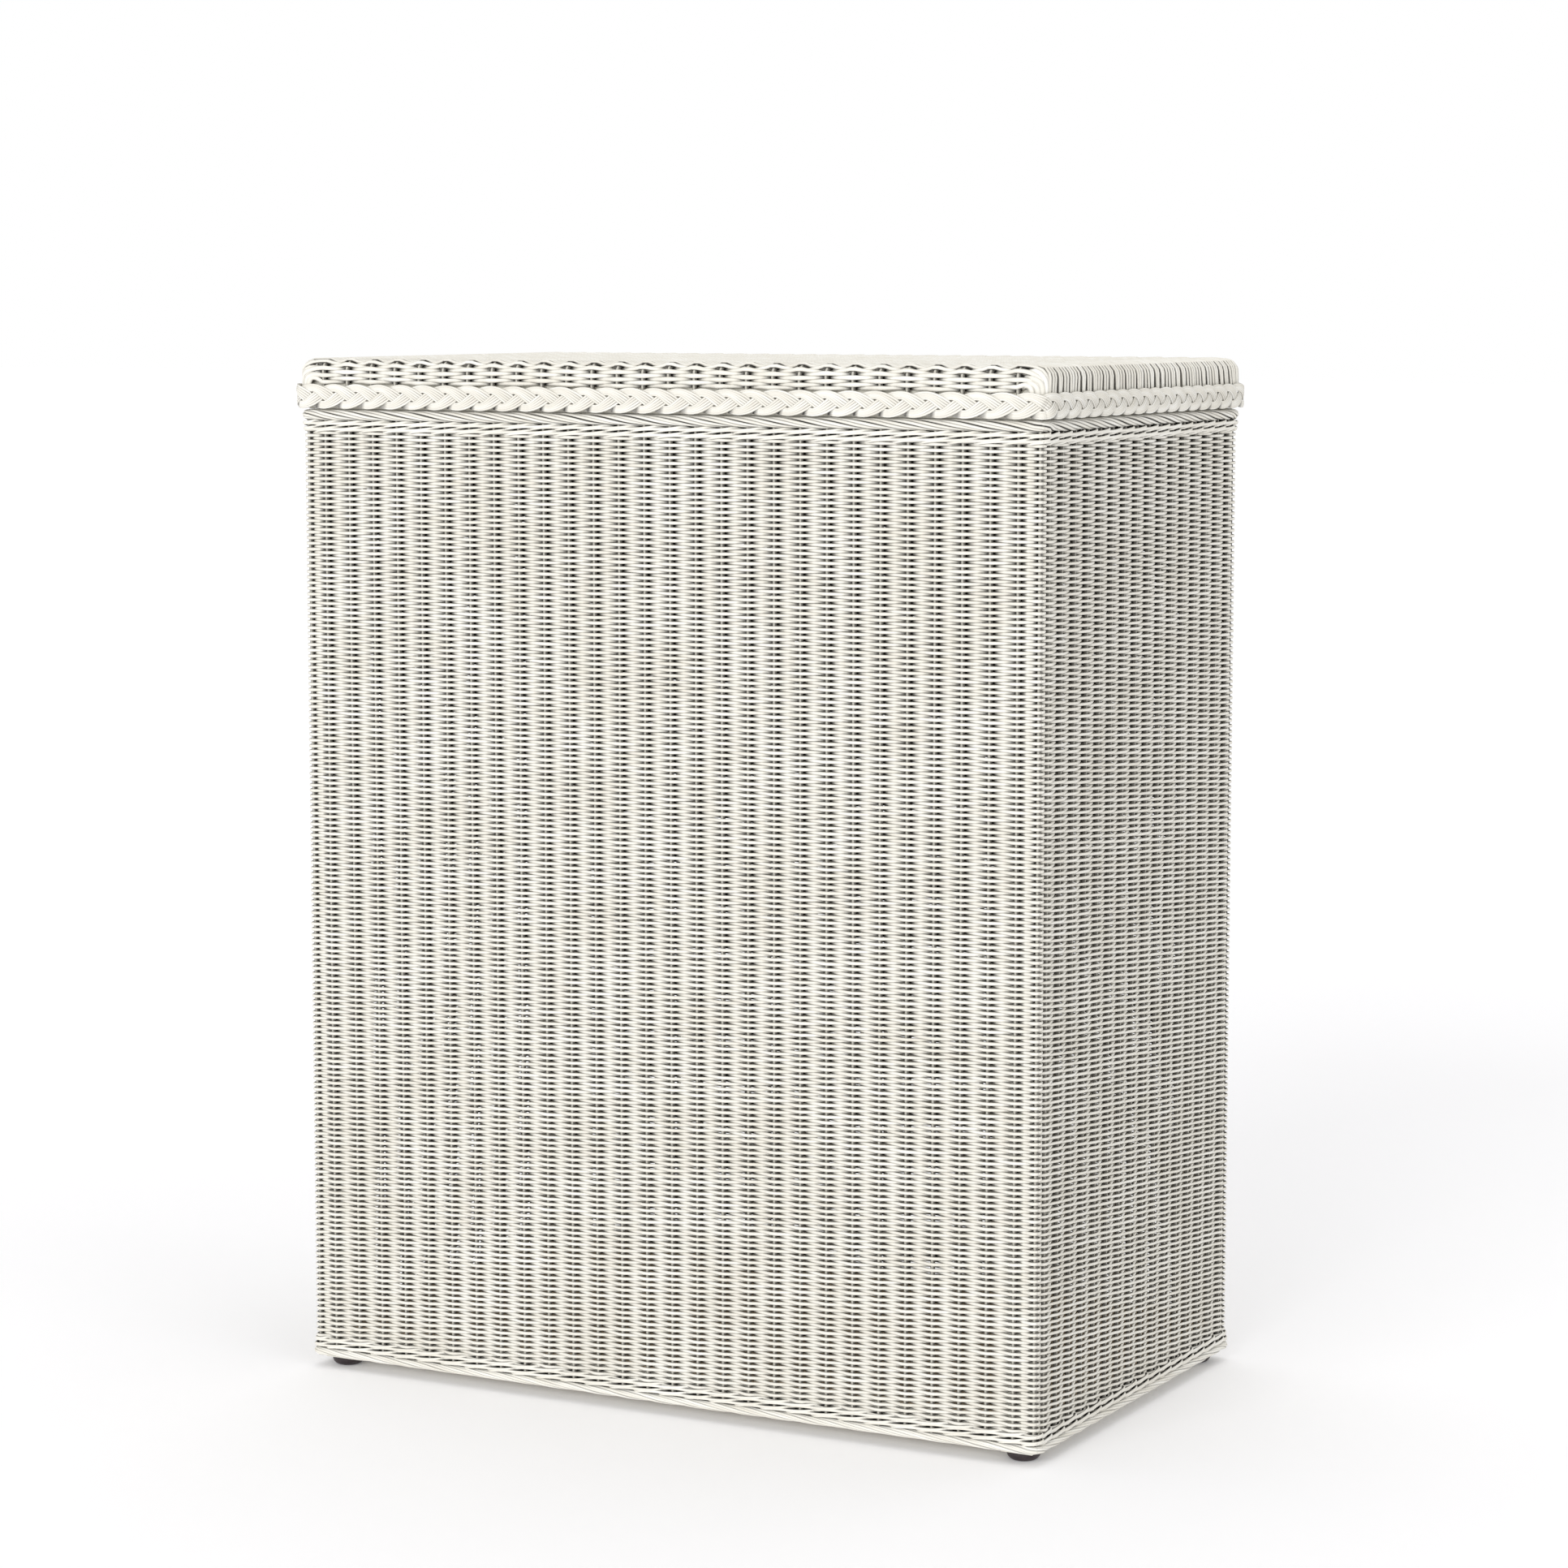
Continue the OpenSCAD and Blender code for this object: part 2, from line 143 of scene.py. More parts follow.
class Strands:
    """Tubes collected into one mesh, with what the material reads at each vertex."""

    def __init__(self):
        self.co, self.fibre, self.tone, self.recess = [], [], [], []
        self.loops, self.starts = [], []
        self.n_vertices, self.n_loops = 0, 0

    def add(self, centre, out, radius, flat=1.0, sides=WEAVER_SIDES, tone=0.0, front=1.0,
            groove=0.0):
        """centre and out are (strands, points, 3). radius, flat, tone and front are numbers or
        vary over strands and points. flat is a strand's depth over its height.
        front says where a strand lies, from 1 outermost to -1 behind the others. The side of it
        that is turned away from the open gets painted shade, darker the farther behind it lies.
        groove is painted shade on its flanks."""
        n, m = centre.shape[:2]
        turn = np.arange(sides) * 2 * math.pi / sides + math.pi / sides
        self.co.append(self._rings(centre, out, radius, flat, turn))
        self.fibre.append(self._fibres(centre, turn))
        self.tone.append(np.repeat(self._spread(tone, n, m).reshape(-1), sides))
        # Painted shade: darkens the side of a strand turned away from the open, and its flanks.
        away_shade = -self._spread(front, n, m)[:, :, None] * np.sign(np.sin(turn))
        away_shade = ease(np.clip((away_shade - SHADE_FROM) / SHADE_SPAN, 0, 1))
        flank_shade = groove * (abs(np.sin(turn)) < FLANK_RISE)
        self.recess.append(np.maximum(away_shade, flank_shade).reshape(-1))

        index = self.n_vertices + np.arange(n * m * sides).reshape(n, m, sides)
        after = np.roll(index, -1, axis=2)
        quads = np.stack([index[:, :-1], after[:, :-1], after[:, 1:], index[:, 1:]], axis=-1)
        self._faces(quads.reshape(-1, 4))
        self._faces(index[:, 0, ::-1])
        self._faces(index[:, -1])
        self.n_vertices += n * m * sides

    @staticmethod
    def _spread(value, n, m):
        return np.broadcast_to(np.asarray(value, float), (n, m))

    def _rings(self, centre, out, radius, flat, turn):
        """Corners of the tubes' outlines, square to the way each tube runs."""
        n, m = centre.shape[:2]
        along = unit(np.gradient(centre, axis=1))
        across = unit(np.cross(along, np.broadcast_to(out, centre.shape)))
        normal = np.cross(across, along)
        wide = self._spread(radius, n, m)[:, :, None, None]
        deep = wide * self._spread(flat, n, m)[:, :, None, None]
        cos = np.cos(turn)[None, None, :, None]
        sin = np.sin(turn)[None, None, :, None]
        ring = across[:, :, None] * cos * wide + normal[:, :, None] * sin * deep
        return (centre[:, :, None] + ring).reshape(-1, 3)

    def _fibres(self, centre, turn):
        """Where each corner lies in the fibre pattern: along its strand, and round it."""
        n, m = centre.shape[:2]
        steps = np.linalg.norm(np.diff(centre, axis=1), axis=2)
        run = np.concatenate([np.zeros((n, 1)), np.cumsum(steps, axis=1)], axis=1)
        spot = rng.uniform(-1, 1, (n, 1)) * FIBRE_STRAY
        fibre = np.zeros((n, m, len(turn), 3))
        fibre[..., 0] = (run + spot)[:, :, None]
        fibre[..., 1] = np.cos(turn) * ROD_R
        fibre[..., 2] = np.sin(turn) * ROD_R + spot[:, :, None]
        return fibre.reshape(-1, 3)

    def _faces(self, corners):
        count, size = corners.shape
        self.loops.append(corners.reshape(-1))
        self.starts.append(self.n_loops + np.arange(count) * size)
        self.n_loops += count * size

    def _mesh(self, name):
        mesh = bpy.data.meshes.new(name)
        loops, starts = np.concatenate(self.loops), np.concatenate(self.starts)
        mesh.vertices.add(self.n_vertices)
        mesh.vertices.foreach_set("co", np.concatenate(self.co).astype(np.float32).ravel())
        mesh.loops.add(len(loops))
        mesh.loops.foreach_set("vertex_index", loops.astype(np.int32))
        mesh.polygons.add(len(starts))
        mesh.polygons.foreach_set("loop_start", starts.astype(np.int32))
        mesh.polygons.foreach_set("use_smooth", np.ones(len(starts), bool))
        mesh.update(calc_edges=True)
        fibre = mesh.attributes.new("fibre", "FLOAT_VECTOR", "POINT")
        fibre.data.foreach_set("vector", np.concatenate(self.fibre).astype(np.float32).ravel())
        for key, store in (("tone", self.tone), ("recess", self.recess)):
            layer = mesh.attributes.new(key, "FLOAT", "POINT")
            layer.data.foreach_set("value", np.concatenate(store).astype(np.float32))
        return mesh

    def piece(self, name, body, material, slot, nodes):
        """The mesh as a piece that rides on a body and stands for CAD nodes."""
        piece = bpy.data.objects.new(name, self._mesh(name))
        piece.data.materials.append(material)
        bpy.context.scene.collection.objects.link(piece)
        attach(piece, body)
        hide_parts(*nodes)
        return piece


# ---- Paths round the basket ----

HINGE_RAMP = 9 * MM  # length over which strands are squeezed towards a hinge
HINGE_SLACK = 2 * MM
DRIFT_WAVES = ((3, 11.0, 0.4), (7, -17.0, 2.1), (12, 23.0, 4.0), (19, 31.0, 5.2))


def side_axes(side):
    """Direction that a side runs in, counter-clockwise from above, and its outward direction."""
    quarter = SIDES.index(side) * math.pi / 2
    along = np.array([math.cos(quarter), math.sin(quarter), 0.0])
    return along, np.array([along[1], -along[0], 0.0])


def half_sizes(side):
    """Half the length of a side, and its face's distance from the middle."""
    return (HALF[0], HALF[1]) if side in ("front", "back") else (HALF[1], HALF[0])


def path(side, s, out, corner_in):
    """Points and outward directions at distances s from a side's middle, "out" beyond its face.
    Beyond the straight stretch the path turns round the corner, up to its mitre."""
    half, face = half_sizes(side)
    along, outward = side_axes(side)
    straight, radius = half - corner_in, corner_in + out
    on_line = np.clip(s, -straight, straight)
    angle = (s - on_line) / radius
    direction = along * np.sin(angle)[..., None] + outward * np.cos(angle)[..., None]
    centre = along * on_line[..., None] + outward * (face - corner_in)
    return centre + direction * radius, direction


def reach(side, out, corner_in):
    """Distance from a side's middle to its mitre, measured along that path."""
    return half_sizes(side)[0] - corner_in + (corner_in + out) * math.pi / 4


def stake_pitch(side):
    low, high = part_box("stakes_" + side)
    size = np.array(high) - np.array(low)
    return (max(size[:2]) - min(size[:2])) / (STAKES[side] - 1)


def stakes_before(side):
    """Stakes passed on the way round to a side's first stake, those in the corners included."""
    return sum(STAKES[other] + 1 for other in SIDES[: SIDES.index(side)])


def wall_samples(side, per_pitch):
    """Distances along a side's middle surface, and at each of them a count of the stakes
    passed, which grows by one from stake to stake and goes on from side to side."""
    count, pitch = STAKES[side], stake_pitch(side)
    end = reach(side, MIDDLE, CORNER_IN)
    arc = (CORNER_IN + MIDDLE) * math.pi / 4
    first = -(count - 1) / 2 * pitch
    inner = first + (np.arange((count - 1) * per_pitch) + 0.5) * pitch / per_pitch
    bend = end - arc + (arc + SEAM) * np.arange(CORNER_STEPS + 1) / CORNER_STEPS
    nudge = pitch / per_pitch / 6  # keeps the first of these samples off the last stake
    run_in = np.linspace(-first, end - arc, per_pitch)[:-1] + nudge
    tail = np.concatenate([run_in, bend])
    s = np.concatenate([-tail[::-1], inner, tail])
    stakes = np.concatenate([[-end], first + np.arange(count) * pitch, [end]])
    return s, np.interp(s, stakes, np.arange(-1, count + 1)) + stakes_before(side)


def at_crossings(table, k):
    """Values given at whole stakes, eased between them and closed round the loop."""
    low = np.floor(k).astype(int)
    t = ease(k - low)
    return table[:, low % LOOP] * (1 - t) + table[:, (low + 1) % LOOP] * t


def drift(k, z):
    """Slow unevenness of the rows, from -1 to 1: waves that close round the loop, each with
    its own slant over the height and its own phase."""
    turn = 2 * math.pi * k / LOOP
    waves = [np.sin(n * turn + z * slant + phase) for n, slant, phase in DRIFT_WAVES]
    return sum(waves) / len(waves)


def near_hinge(points):
    """From 0 to 1, how far points along the back lie over a hinge."""
    room = HINGE_HALF + HINGE_SLACK + HINGE_RAMP
    over = [np.clip((room - abs(points[..., 0] - x)) / HINGE_RAMP, 0, 1) for x in HINGE_X]
    at_back = points[..., 1] > HALF[1] - 3 * WEAVE_T
    return ease(np.maximum(*over)) * at_back


def squeeze(points, low, high, new_low, new_high):
    """Points between two levels, drawn between two others where they cross a hinge."""
    share = (points[..., 2] - low) / (high - low)
    there = new_low + share * (new_high - new_low)
    moved = points.copy()
    moved[..., 2] += (there - moved[..., 2]) * near_hinge(points)
    return moved


# ---- Woven walls ----

ROWS = round((WEAVE_Z[1] - WEAVE_Z[0]) / ROW_PITCH) + 2  # one runs on behind each border
row_pitch = (WEAVE_Z[1] - WEAVE_Z[0]) / (ROWS - 2)
row_rise = rng.uniform(-1, 1, (ROWS, LOOP))
row_swing = rng.uniform(-1, 1, (ROWS, LOOP))
row_thick = rng.uniform(-1, 1, (ROWS, 1))
row_tone = rng.uniform(-1, 1, (ROWS, 1))
BANDS = {"front": 4, "right": 2, "back": 4, "left": 2}
FULLNESS = {"front": 1.0, "right": 0.92, "back": 1.0, "left": 0.92}  # of the strands
WALL_STEPS = 5  # samples from stake to stake
CORNER_CALM = 0.12  # how much less the strands swing at the corner stakes
SWING_LOSS = 0.06  # how much less a strand may swing elsewhere
ROW_DRIFT = 0.45 * MM  # how far the rows rise and fall slowly
ROW_JITTER = 0.16 * MM  # how far a row rises and falls from stake to stake
EDGE_ROWS = 10  # rows next to a border that grow steadily more level
EDGE_DRIFT = 0.15  # what is left of their rise and fall at the border
THICK_ROW = 0.05  # how much thicker one row may be than another
THICK_STAKE = 0.03  # how much thicker it may be at one stake than at another
ROW_TONE = 0.6  # part of the tone that stays the same along a row
OVER_STAKE = 0.09  # how much broader the strands are pressed over the stakes
# painted crease shade on the strands' flanks
WALL_CREASE_SHADE = 0.27


def corner_share(side, k):
    """1 at the corner stakes of a side, and 0 from their neighbours on."""
    first = stakes_before(side) - 1
    last = first + STAKES[side] + 1
    return ease(np.clip(1 - np.minimum(k - first, last - k), 0, 1))


def row_heights(rows, k):
    """Heights of rows at stake counts k. Next to a border they follow its straight edge."""
    level = WEAVE_Z[0] + (rows[:, None] - 0.5) * row_pitch
    jitter = ROW_JITTER * at_crossings(row_rise[rows], k)
    z = level + ROW_DRIFT * drift(k[None], level) + jitter
    edge = np.minimum(level - WEAVE_Z[0], WEAVE_Z[1] - level) / (EDGE_ROWS * row_pitch)
    return level + (z - level) * np.clip(edge, EDGE_DRIFT, 1)


def weave_rows(side, rows):
    """Weavers of one side, each passing in front of and behind the stakes in turn."""
    s, k = wall_samples(side, WALL_STEPS)
    surface, outward = path(side, s, MIDDLE, CORNER_IN)
    calm = CORNER_CALM * corner_share(side, k)
    wave = over_under(k[None] + rows[:, None]) * (1 - calm) + calm / 2
    swing = SWING * (1 - SWING_LOSS * abs(at_crossings(row_swing[rows], k)))
    centre = surface[None] + outward[None] * (swing * wave)[..., None]
    centre[..., 2] = row_heights(rows, k)
    thick = 1 + THICK_ROW * row_thick[rows] + THICK_STAKE * at_crossings(row_rise[rows], k)
    tone = ROW_TONE * row_tone[rows] + (1 - ROW_TONE) * at_crossings(row_swing[rows], k)
    return centre, outward[None], ROD_R * FULLNESS[side] * thick, tone, wave


def build_wall(side, material):
    for band, rows in enumerate(np.array_split(np.arange(ROWS), BANDS[side])):
        centre, outward, radius, tone, wave = weave_rows(side, rows)
        broad = spread_over(wave, OVER_STAKE)
        strands = Strands()
        strands.add(centre, outward, radius * broad, flat=ROD_FLAT / broad, tone=tone, front=wave,
                    groove=WALL_CREASE_SHADE)
        name = f"wicker_{side}_{band + 1}"
        strands.piece(name, "body", material, "painted_wicker", ["weave_" + side])


# ---- Borders of the body ----

BORDER_STEPS = 6  # samples from stake to stake
WALE_RODS = 3  # each rod passes in front of two stakes and behind the third
WALE_R = 0.95 * MM
WALE_RISE = 3.4 * MM
WALE_PITCH = 3.9 * MM
WALE_PLACE = 0.4  # of its pitch, how far a round lies from the wall's side of its room
WALE_FACES = (0.55, 0.9)  # how far the two rounds stand out, over the rolled edge's
WALE_BACK = 0.12  # of the way to the next stake, how far a rod stays behind a stake
WALE_FORTH = 0.6  # of that way, how far it takes to come out to the front
WALE_OUTWARD = 0.1  # how far outwards the middle of a rod's swing lies
WALE_TUCK = 0.3 * MM  # how much further in a rod lies where it starts to climb
WALE_UNEVEN = 0.15 * MM
# painted crease shade on the rods' flanks
WALE_CREASE_SHADE = 0.3
ROPE_LAY = 5  # stakes passed in one turn of a rolled border
ROPE_GROUPS = 4
ROPE_GROUP = 2  # rods that lie side by side
ROPE_CLOSE = 0.43  # their distance, over a group's room
ROPE_R = 1.03 * MM
ROPE_UNEVEN = 0.25 * MM
# painted crease shade on the rods' flanks
ROPE_CREASE_SHADE = 0.42
CORE_LAP = 0.5 * MM  # how far the core reaches into the rods laid round it
ROLL_LAP = 0.6 * MM  # how far the rolled rods reach over the waling
EDGE_LIFT = 1.8 * MM  # how far the lower rolled rods stop above the feet's tops
BACKING_PITCH = 1.8 * ROD_R


def wale_round(strands, side, level, face):
    """One round of waling, whose rods climb from left to right as seen from outside."""
    s, k = wall_samples(side, BORDER_STEPS)
    surface, outward = path(side, s, MIDDLE, CORNER_IN)
    start = np.arange(WALE_RODS)[:, None]
    phase = (k[None] - start) % WALE_RODS
    from_back = np.minimum(phase, WALE_RODS - phase)
    swing = 2 * ease(np.clip((from_back - WALE_BACK) / WALE_FORTH, 0, 1)) - 1
    lay = np.clip(phase - WALE_RODS / 2, -1, 1)
    behind = 1 - 2 * ((phase + 0.5) % WALE_RODS)
    climb = np.where(abs(lay) < 1, lay * abs(lay), behind)
    depth = face - WALE_R - MIDDLE
    offset = depth * (WALE_OUTWARD + (1 - WALE_OUTWARD) * swing) + WALE_TUCK * (lay - 1)
    centre = surface[None] + outward[None] * offset[..., None]
    uneven = WALE_UNEVEN * drift(3 * k[None], level * 9 + start)
    centre[..., 2] = level + WALE_RISE / 2 * climb + uneven
    tone = 0.7 * np.sin(1.7 * (k[None] - phase) + 2 * start)
    strands.add(centre, outward[None], WALE_R, sides=ROD_SIDES, tone=tone, front=swing,
                groove=WALE_CREASE_SHADE)


def backing(strands, side, low, high):
    """Straight rods behind a border, which close the gaps in it. Their outer sides get full painted
    shade, so the gaps show dark.
    """
    s, _ = wall_samples(side, 1)
    surface, outward = path(side, s, MIDDLE, CORNER_IN)
    levels = np.arange(low + ROD_R, high - ROD_R / 2, BACKING_PITCH)
    inner = surface - outward * (WEAVE_T / 2 - ROD_R)
    centre = np.repeat(inner[None], len(levels), axis=0)
    centre[..., 2] = levels[:, None]
    # front=-1 gives the rods' outer sides full painted shade.
    strands.add(centre, outward[None], ROD_R, front=-1.0)


def rolled_edge(strands, side, low, high, face):
    """Rods laid round the edge like a rope, in pairs, falling from left to right."""
    s, k = wall_samples(side, BORDER_STEPS)
    surface, outward = path(side, s, MIDDLE, CORNER_IN)
    rods = np.arange(ROPE_GROUPS * ROPE_GROUP)
    group, member = rods // ROPE_GROUP, rods % ROPE_GROUP
    share = (group + ROPE_CLOSE * (member - 0.5)) / ROPE_GROUPS
    angle = 2 * math.pi * (share[:, None] - k[None] / ROPE_LAY)
    half_h, half_t = (high - low) / 2, min(high - low, BORDER_T) / 2
    uneven = ROPE_UNEVEN * (np.sin(1.7 * k[None] + 1.9 * rods[:, None]) - 1)
    middle = surface + outward * (face - half_t - MIDDLE)
    middle[:, 2] = (low + high) / 2
    out = (half_t - ROPE_R + uneven) * np.cos(angle)
    centre = middle[None] + outward[None] * out[..., None]
    centre[..., 2] += (half_h - ROPE_R + uneven) * np.sin(angle)
    if side == "back" and high > WEAVE_Z[1]:
        centre = squeeze(centre, low, high, low, LEAF_UNDER)
        middle = squeeze(middle, low, high, low, LEAF_UNDER)
    tone = np.broadcast_to(np.sin(rods * 2.4)[:, None], angle.shape)
    strands.add(centre, unit(centre - middle[None]), ROPE_R, sides=ROD_SIDES, tone=tone,
                groove=ROPE_CREASE_SHADE)
    # The core's outer side gets full painted shade, and shows dark between the rods.
    strands.add(middle[None], outward[None], half_t - 2 * ROPE_R + CORE_LAP, front=-1.0)


def build_top_border(side, material):
    strands = Strands()
    roll_low = TOP_Z[0] + len(WALE_FACES) * WALE_PITCH
    for i, face in enumerate(WALE_FACES):
        wale_round(strands, side, TOP_Z[0] + (i + WALE_PLACE) * WALE_PITCH, PROUD * face)
    rolled_edge(strands, side, roll_low - ROLL_LAP, TOP_Z[1], PROUD)
    backing(strands, side, TOP_Z[0], roll_low + ROPE_R)
    strands.piece("top_border_strands_" + side, "body", material, "painted_rattan",
                  ["top_border_" + side])


def build_bottom_border(side, material):
    strands = Strands()
    roll_high = BOTTOM_Z[1] - len(WALE_FACES) * WALE_PITCH
    for i, face in enumerate(reversed(WALE_FACES)):
        wale_round(strands, side, roll_high + (i + 1 - WALE_PLACE) * WALE_PITCH, PROUD * face)
    rolled_edge(strands, side, BOTTOM_Z[0] + EDGE_LIFT, roll_high + ROLL_LAP, PROUD)
    backing(strands, side, roll_high - ROPE_R, BOTTOM_Z[1])
    strands.piece("bottom_border_strands_" + side, "body", material, "painted_rattan",
                  ["bottom_border_" + side])


# ---- Braid round the lid ----

BRAID_BUNDLES = 3
BRAID_RODS = 5  # in each bundle
BRAID_TURNS = 33  # waves of each bundle round the whole lid
BRAID_ROD_R = 0.85 * MM
BRAID_FLAT = 0.65
BRAID_DEPTH = 0.8 * MM  # how far a bundle swings in and out
BRAID_SPREAD = 1.66 * MM  # from rod to rod, where a bundle is broadest
BRAID_GATHER = 0.44  # how much narrower a bundle is where it turns at the braid's edges
BRAID_CROWN = 0.3 * MM  # how far a bundle's middle rod stands out beyond its outer ones
BRAID_STEP = 3.0 * MM
BRAID_FRONT = 0.3  # how far out the bundles lie for their painted shade, from -1 to 1
# painted crease shade on the rods' flanks
BRAID_CREASE_SHADE = 0.35
UNDER_PLACE = math.radians(232)  # where in its wave a bundle comes out from below another, and gets painted shade
UNDER_REACH = math.radians(42)
UNDER_SHADE = 0.95  # how much painted shade it gets there
KNUCKLE_GAP = 0.5 * MM
BRAID_CORNER_IN = BRAID_OUT
BRAID_MID = BRAID_OUT - BRAID_ROD_R * BRAID_FLAT - BRAID_DEPTH
BRAID_LENGTH = sum(2 * reach(side, BRAID_MID, BRAID_CORNER_IN) for side in SIDES)
BRAID_NARROW = (BRAID_RODS - 1) * BRAID_SPREAD * (1 - BRAID_GATHER) + 2 * BRAID_ROD_R
BRAID_SWING = (BRAID_Z[1] - BRAID_Z[0] - BRAID_NARROW) / 2


def braid_start(side):
    """Length of the braid's path before a side's middle."""
    before = SIDES[: SIDES.index(side)]
    passed = sum(2 * reach(other, BRAID_MID, BRAID_CORNER_IN) for other in before)
    return passed + reach(side, BRAID_MID, BRAID_CORNER_IN)


def braid_rod(side, s, theta, rod):
    """Path of one rod of a bundle, whose wave is at theta, and its outward direction."""
    low, high = BRAID_Z
    tilt = np.arctan(BRAID_SWING * np.cos(theta) * 2 * math.pi * BRAID_TURNS / BRAID_LENGTH)
    gathered = BRAID_SPREAD * (1 - BRAID_GATHER * np.sin(theta) ** 2)
    aside = (rod - (BRAID_RODS - 1) / 2) * gathered
    crown = BRAID_CROWN * (1 - (2 * rod / (BRAID_RODS - 1) - 1) ** 2)
    forth = -BRAID_DEPTH * np.sin(2 * theta) + crown - BRAID_CROWN
    centre, direction = path(side, s - aside * np.sin(tilt), BRAID_MID, BRAID_CORNER_IN)
    centre = centre + direction * forth[:, None]
    centre[:, 2] = (low + high) / 2 + BRAID_SWING * np.sin(theta) + aside * np.cos(tilt)
    if side == "back":
        centre = squeeze(centre, low, high, KNUCKLE_TOP + KNUCKLE_GAP, high)
    return centre, direction


def build_braid(side, material):
    """Three flat bundles of thin rods plaited round the lid's lower edge."""
    end = reach(side, BRAID_MID, BRAID_CORNER_IN)
    s = np.linspace(-end - SEAM, end + SEAM, 2 * round(end / BRAID_STEP) + 1)
    wave = 2 * math.pi * BRAID_TURNS * (s + braid_start(side)) / BRAID_LENGTH
    strands = Strands()
    for bundle in range(BRAID_BUNDLES):
        theta = wave + 2 * math.pi * bundle / BRAID_BUNDLES
        # Painted shade on a bundle where it comes out from below another.
        under = np.clip(1 - abs((theta % (2 * math.pi)) - UNDER_PLACE) / UNDER_REACH, 0, 1)
        front = BRAID_FRONT - UNDER_SHADE * ease(under)
        for rod in range(BRAID_RODS):
            centre, direction = braid_rod(side, s, theta, rod)
            strands.add(centre[None], direction[None], BRAID_ROD_R, flat=BRAID_FLAT,
                        sides=ROD_SIDES, tone=math.sin(bundle * 2.1 + rod * 1.3), front=front,
                        groove=BRAID_CREASE_SHADE)
    strands.piece("braid_strands_" + side, "lid", material, "painted_rattan",
                  ["lid_braid_" + side])


# ---- Woven lid ----

LID_ROW_PITCH = 2.15 * MM
LID_HALF = HALF + PROUD
LID_CORE = np.array([*(LID_HALF - LID_EDGE_R), LID_TOP - LID_EDGE_R])
SKIN_MID = LID_EDGE_R - RIB_IN  # the woven skin's middle, from the core
LID_SPAN = 2 * (LID_CORE[2] - BRAID_Z[1]) + SKIN_MID * math.pi + 2 * LID_CORE[1]
LID_ROWS = round(LID_SPAN / LID_ROW_PITCH)
LID_ROD_R = 1.26 * MM
LID_ROD_FLAT = 0.75
LID_SWING = RIB_IN - LID_ROD_R * LID_ROD_FLAT
LID_STEPS = 5  # samples from rib to rib
LID_WOBBLE = 0.35 * MM
# painted crease shade on the strands' flanks
LID_CREASE_SHADE = 0.2
LID_LOW = BRAID_Z[1] - 2.5 * MM  # where the side loops end, behind the braid
LID_SPARE = 12 * MM  # how far round each corner the side loops reach
OVER_RIB = 0.32  # how much broader the strands are pressed over the ribs
LOOP_STEPS = 12
LOOP_LEAN = 0.6  # rows by which the side loops lean towards the back
LOOP_BUNCH = 0.6  # rows by which they gather in bunches
LOOP_JITTER = 0.4  # rows by which each strays
LOOP_FADE = 2.6  # how soon a row that leaves its last rib comes to lie as its loop does
LOOP_OVER = 0.85  # how far out every second loop lies, from -1 to 1
LOOP_UNDER = -0.05  # how far out the others lie
LOOP_STRAY = 0.38  # how far the others stray from that
LOOP_LIMIT = 0.6  # how far out the others come at most
CORNER_LIFT = 0.9  # how much farther out the others lie at the lid's corners
CORNER_SWELL = 0.35  # how much thicker the loops are there
CORNER_ROWS = 8  # rows over which a corner's lift and swell fade
CORNER_HOLD = 1.4  # above 1, they are whole for the first rows


def on_lid(points, depth):
    """Points moved onto the surface that lies "depth" outside the lid's square core."""
    held = np.clip(points, [-LID_CORE[0], -LID_CORE[1], -1.0], LID_CORE)
    direction = unit(points - held)
    return held + direction * depth[..., None], direction


def lid_section(s):
    """y and z where a rib's middle line is, s along it from the front's lower edge."""
    rise = LID_CORE[2] - BRAID_Z[1]
    arc = SKIN_MID * math.pi / 2
    across = 2 * LID_CORE[1]
    a = np.clip((s - rise) / SKIN_MID, 0, math.pi / 2)
    b = np.clip((s - rise - arc - across) / SKIN_MID, 0, math.pi / 2)
    flat = np.clip(s - rise - arc, 0, across)
    down = np.clip(s - rise - 2 * arc - across, 0, None)
    up = np.clip(s, None, rise)
    y = -LID_CORE[1] - SKIN_MID * np.cos(a) + flat + SKIN_MID * np.sin(b)
    z = BRAID_Z[1] + up + SKIN_MID * np.sin(a) - SKIN_MID * (1 - np.cos(b)) - down
    return y, z


def lid_end(rows, sign):
    """Where each row's end is tucked behind the braid: along the front, round the corner
    and along the side, to the back."""
    depth = 2 * LID_HALF[1]
    place = (rows + 0.5) / LID_ROWS * (2 * LID_SPARE + depth) - LID_SPARE
    x = np.where(place < 0, LID_HALF[0] + place, LID_HALF[0])
    x = np.where(place > depth, LID_HALF[0] - (place - depth), x)
    return x * sign, np.clip(place, 0, depth) - LID_HALF[1]


def side_loop(rows, start, jitter, sign, share):
    """Curved ends of rows, from their last rib to where they are tucked behind the braid."""
    bunch = LOOP_BUNCH * np.sin(1.15 * rows + 2 * np.sin(0.37 * rows)) + LOOP_LEAN
    x, y = lid_end(rows + bunch + LOOP_JITTER * jitter, sign)
    last = np.stack([x, y, np.full(len(rows), LID_LOW)], axis=-1)
    corner_z = np.maximum(start[:, 2], LID_CORE[2])
    corner = np.stack([x, (2 * start[:, 1] + y) / 3, corner_z], axis=-1)
    t = share[None, :, None]
    return (1 - t) ** 2 * start[:, None] + 2 * t * (1 - t) * corner[:, None] + t**2 * last[:, None]


def loop_place(rows, jitter, at_corner):
    """How far out each row's loops lie: every second one on top, the others between them."""
    under = LOOP_UNDER + LOOP_STRAY * jitter + CORNER_LIFT * at_corner
    return np.where(rows % 2 == 0, LOOP_OVER, np.minimum(under, LOOP_LIMIT))[:, None]


